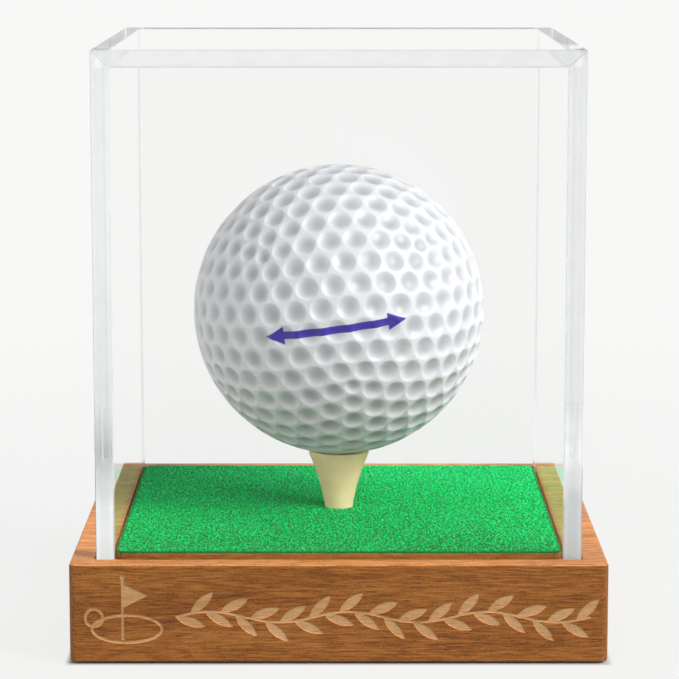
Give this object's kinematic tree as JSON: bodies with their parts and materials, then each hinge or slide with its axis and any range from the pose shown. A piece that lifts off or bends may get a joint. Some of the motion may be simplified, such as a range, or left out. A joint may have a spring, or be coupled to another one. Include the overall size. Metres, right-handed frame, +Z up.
{
  "type": "golf ball display case",
  "caption": "Clear square display case that shows one golf ball on a tee over a turf pad, on a grooved wood plinth with a lift-off mitred acrylic cover.",
  "frame": {"origin": "middle of the case's footprint, on the surface that it stands on", "axes": "+Z up, +X to the right and -Y towards the viewer of the front face"},
  "size_m": [0.074, 0.074, 0.084],
  "materials": {
    "walnut": "oiled, fine straight grain",
    "turf": "short flocked pile",
    "tee_plastic": "satin cream",
    "ball_cover": "gloss white, dimpled",
    "acrylic": "clear, polished edges",
    "rubber": "matt black"
  },
  "bodies": {
    "base": {"wood_base": "walnut", "turf_mat": "turf", "golf_tee": "tee_plastic", "foot_front_left": "rubber", "foot_front_right": "rubber", "foot_back_left": "rubber", "foot_back_right": "rubber"},
    "ball": {"golf_ball": "ball_cover"},
    "cover": {"front_pane": "acrylic", "back_pane": "acrylic", "left_pane": "acrylic", "right_pane": "acrylic", "top_pane": "acrylic"}
  },
  "joints": [
    {"name": "cover_lift", "type": "slide", "parent": "base", "child": "cover", "axis": [0, 0, 1], "range_m": [0, 0.07]},
    {"name": "ball_lift", "type": "slide", "parent": "base", "child": "ball", "axis": [0, 0, 1], "range_m": [0, 0.012]}
  ]
}
